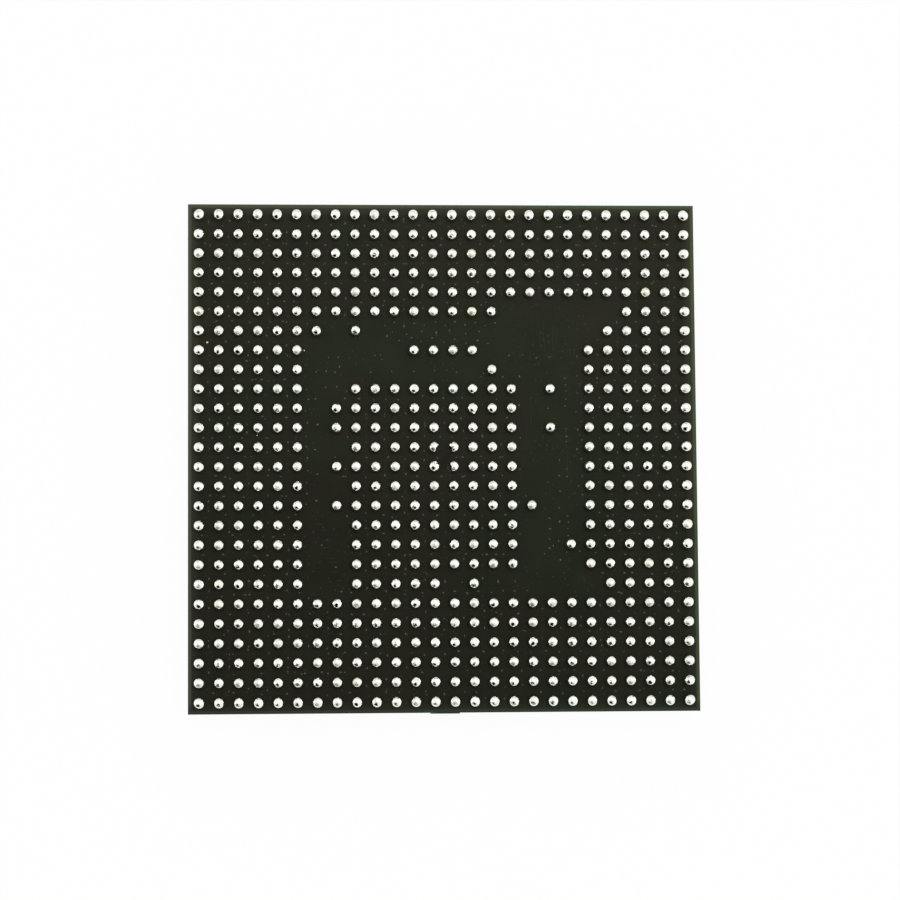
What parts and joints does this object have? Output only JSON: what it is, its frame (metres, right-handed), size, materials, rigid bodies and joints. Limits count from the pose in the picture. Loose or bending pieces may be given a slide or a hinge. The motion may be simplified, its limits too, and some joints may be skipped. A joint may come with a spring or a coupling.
{
  "type": "ball grid array chip package",
  "caption": "Square ball grid array chip package, flip-chip die under a black moulded cap, lying cap down with its solder balls up.",
  "frame": {"origin": "centre of the moulded cap's flat outer face, on which the package lies", "axes": "+Z out of the ball side, +X along the ball columns from column 1 to the last column, +Y towards ball row A"},
  "size_m": [0.017, 0.017, 0.0016],
  "materials": {
    "solder": "reflowed tin alloy, bright and slightly grainy",
    "copper": "plated copper",
    "solder_mask": "dark olive green solder mask, semi-gloss",
    "film": "translucent green insulating film",
    "core": "glass-fibre laminate, cut edge",
    "underfill": "dark cured epoxy",
    "silicon": "ground silicon",
    "mould": "black mould compound, fine matt grain"
  },
  "bodies": {
    "root": {"balls_top_field": "solder", "balls_bottom_field": "solder", "balls_left_field": "solder", "balls_right_field": "solder", "balls_centre_field": "solder", "ball_pads": "copper", "ball_side_mask": "solder_mask", "ball_side_vias": "copper", "ball_side_film": "film", "ground_plane": "copper", "core": "core", "core_vias": "copper", "power_plane": "copper", "die_side_film": "film", "die_side_vias": "copper", "bump_pads": "copper", "die_side_mask": "solder_mask", "die_bumps": "solder", "underfill": "underfill", "die": "silicon", "mould_cap": "mould"}
  },
  "joints": []
}
